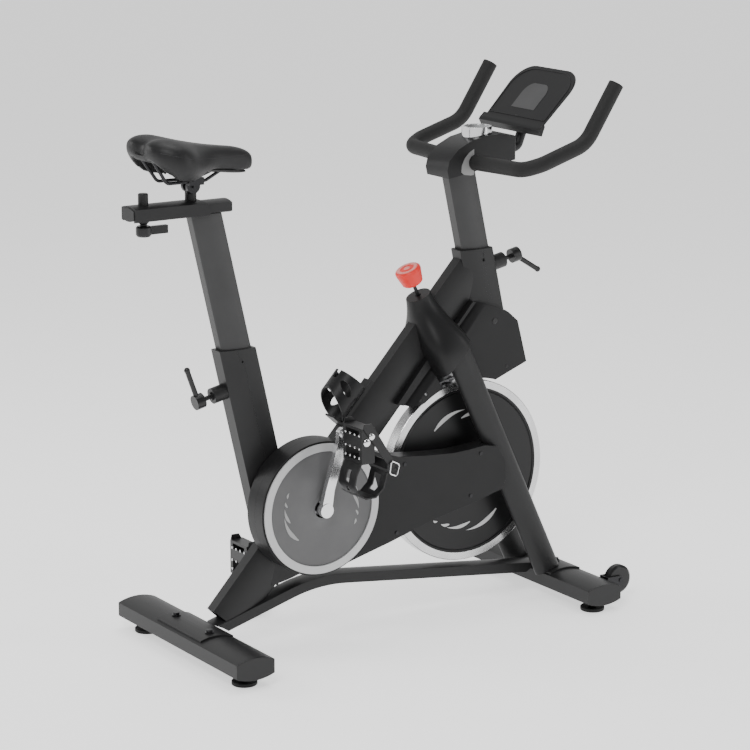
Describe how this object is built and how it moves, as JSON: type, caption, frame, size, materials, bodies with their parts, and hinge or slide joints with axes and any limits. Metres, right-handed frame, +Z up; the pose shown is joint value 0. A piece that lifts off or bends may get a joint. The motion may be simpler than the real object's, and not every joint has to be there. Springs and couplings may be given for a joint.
{
  "type": "exercise bike",
  "caption": "Indoor cycling trainer with belt-driven flywheel, magnetic resistance dial, height-adjustable saddle and horned handlebar, tablet holder, toe-cage pedals and levelling feet.",
  "frame": {"origin": "on the floor, at the centre of the whole bike's bounding box seen from above", "axes": "+X forwards towards the handlebar, +Y to the rider's left, +Z up"},
  "size_m": [1.167, 0.512, 1.1881],
  "materials": {
    "frame_black": "matt powder coat",
    "post_black": "matt powder coat",
    "plastic_black": "fine texture",
    "plastic_grey": "satin",
    "cap_black": "satin",
    "rubber_black": "matt",
    "bolt_black": "black oxide",
    "bearing_steel": "ground",
    "rim_silver": "turned and plated",
    "disc_black": "gloss paint",
    "axle_steel": "zinc plated",
    "belt_black": "ribbed",
    "ring_silver": "silver film",
    "crank_silver": "polished",
    "knob_red": "semi gloss",
    "foam_black": "closed-cell foam",
    "vinyl_black": "soft vinyl",
    "chrome": "bright",
    "screen_grey": "grey face"
  },
  "bodies": {
    "frame": {"rear_stabilizer": "frame_black", "front_stabilizer": "frame_black", "stabilizer_end_caps": "cap_black", "main_tube": "frame_black", "seat_tube": "frame_black", "head_tube": "frame_black", "base_tube": "frame_black", "fork_legs": "frame_black", "frame_weldments": "frame_black", "transport_wheel_forks": "bolt_black", "axle_bearings": "bearing_steel", "drive_belt": "belt_black", "belt_cover_outer": "plastic_black", "belt_cover_inner": "plastic_black", "cover_trim_ring": "ring_silver", "cover_disc": "plastic_grey", "bolts_and_screws": "bolt_black", "fork_shroud": "plastic_black", "front_housing_right": "plastic_black", "front_housing_left": "plastic_black", "post_bushes": "cap_black", "bottle_cage": "plastic_black"},
    "foot_rear_right": {"foot_rear_right": "rubber_black"},
    "foot_rear_left": {"foot_rear_left": "rubber_black"},
    "foot_front_right": {"foot_front_right": "rubber_black"},
    "foot_front_left": {"foot_front_left": "rubber_black"},
    "wheel_right": {"transport_wheel_right": "cap_black"},
    "wheel_left": {"transport_wheel_left": "cap_black"},
    "flywheel": {"flywheel_rim": "rim_silver", "flywheel_disc": "disc_black", "flywheel_axle_pulley": "axle_steel"},
    "crankset": {"crank_axle_pulley": "axle_steel", "crank_arm_right": "crank_silver", "crank_arm_left": "crank_silver"},
    "pedal_right": {"pedal_body_right": "cap_black", "toe_cage_right": "cap_black", "toe_strap_right": "cap_black"},
    "pedal_left": {"pedal_body_left": "cap_black", "toe_cage_left": "cap_black", "toe_strap_left": "cap_black"},
    "seat_mast": {"seat_post": "post_black", "seat_rail": "frame_black"},
    "seat_carriage": {"seat_slider": "frame_black"},
    "carriage_clamp": {"clamp_lever": "cap_black"},
    "saddle": {"saddle_clamp": "bolt_black", "saddle_rails": "bolt_black", "saddle_base": "cap_black", "saddle_cover": "vinyl_black"},
    "seat_pin": {"seat_post_plunger": "cap_black"},
    "handlebar": {"handlebar_post": "post_black", "handlebar_right": "foam_black", "handlebar_left": "foam_black", "handlebar_shroud": "plastic_black", "console_bezel": "chrome", "console_face": "screen_grey", "tablet_holder": "plastic_black"},
    "handlebar_pin": {"handlebar_plunger": "cap_black"},
    "tension_stem": {"tension_rod": "bolt_black"},
    "tension_dial": {"tension_knob": "knob_red"},
    "brake_shoe": {"magnet_bracket": "axle_steel"}
  },
  "joints": [
    {"name": "foot_rear_right_turn", "type": "hinge", "parent": "frame", "child": "foot_rear_right", "pos_m": [-0.4445, -0.209, 0], "axis": [0, 0, 1], "range_deg": [-180, 180]},
    {"name": "foot_front_right_turn", "type": "hinge", "parent": "frame", "child": "foot_front_right", "pos_m": [0.4615, -0.197, 0], "axis": [0, 0, 1], "range_deg": [-180, 180]},
    {"name": "wheel_right_spin", "type": "hinge", "parent": "frame", "child": "wheel_right", "pos_m": [0.5505, -0.17, 0.05], "axis": [0, 1, 0], "continuous": true},
    {"name": "foot_rear_left_turn", "type": "hinge", "parent": "frame", "child": "foot_rear_left", "pos_m": [-0.4445, 0.209, 0], "axis": [0, 0, 1], "range_deg": [-180, 180]},
    {"name": "foot_front_left_turn", "type": "hinge", "parent": "frame", "child": "foot_front_left", "pos_m": [0.4615, 0.197, 0], "axis": [0, 0, 1], "range_deg": [-180, 180]},
    {"name": "wheel_left_spin", "type": "hinge", "parent": "frame", "child": "wheel_left", "pos_m": [0.5505, 0.17, 0.05], "axis": [0, 1, 0], "continuous": true},
    {"name": "flywheel_spin", "type": "hinge", "parent": "frame", "child": "flywheel", "pos_m": [0.2415, 0, 0.3125], "axis": [0, 1, 0], "continuous": true},
    {"name": "crank_spin", "type": "hinge", "parent": "frame", "child": "crankset", "pos_m": [-0.1828, 0, 0.3066], "axis": [0, 1, 0], "continuous": true},
    {"name": "pedal_right_spin", "type": "hinge", "parent": "crankset", "child": "pedal_right", "pos_m": [-0.15153, -0.185, 0.4737], "axis": [0, 1, 0], "continuous": true},
    {"name": "pedal_left_spin", "type": "hinge", "parent": "crankset", "child": "pedal_left", "pos_m": [-0.21407, 0.185, 0.1395], "axis": [0, 1, 0], "continuous": true},
    {"name": "seat_height", "type": "slide", "parent": "frame", "child": "seat_mast", "axis": [-0.225, 0, 0.9744], "range_m": [-0.14, 0.05]},
    {"name": "seat_reach", "type": "slide", "parent": "seat_mast", "child": "seat_carriage", "axis": [1, 0, 0], "range_m": [-0.02, 0.02]},
    {"name": "carriage_clamp_turn", "type": "hinge", "parent": "seat_carriage", "child": "carriage_clamp", "pos_m": [-0.5475, 0, 0.911], "axis": [0, 0, 1], "range_deg": [-120, 120]},
    {"name": "saddle_tilt", "type": "hinge", "parent": "seat_carriage", "child": "saddle", "pos_m": [-0.4375, 0, 1.008], "axis": [0, 1, 0], "range_deg": [-6, 6]},
    {"name": "seat_pin_pull", "type": "slide", "parent": "frame", "child": "seat_pin", "axis": [-0.9744, 0, -0.225], "range_m": [0, 0.008], "stiffness_N_per_m": 800},
    {"name": "handlebar_height", "type": "slide", "parent": "frame", "child": "handlebar", "axis": [-0.2164, 0, 0.9763], "range_m": [-0.09, 0.05]},
    {"name": "handlebar_pin_pull", "type": "slide", "parent": "frame", "child": "handlebar_pin", "axis": [0.9763, 0, 0.2164], "range_m": [0, 0.008], "stiffness_N_per_m": 800},
    {"name": "tension_press", "type": "slide", "parent": "frame", "child": "tension_stem", "axis": [0.4242, 0, -0.9056], "range_m": [0, 0.004], "stiffness_N_per_m": 1500},
    {"name": "tension_turn", "type": "hinge", "parent": "tension_stem", "child": "tension_dial", "pos_m": [0.1225, 0, 0.719], "axis": [-0.4242, 0, 0.9056], "range_deg": [0, 340]},
    {"name": "shoe_swing", "type": "hinge", "parent": "frame", "child": "brake_shoe", "pos_m": [0.12174, 0, 0.50416], "axis": [0, 1, 0], "range_deg": [0, 1.5]}
  ],
  "couplings": [
    {"joint": "crank_spin", "follows": "flywheel_spin", "ratio": 0.29348},
    {"joint": "shoe_swing", "follows": "tension_turn", "ratio": 0.004412}
  ]
}
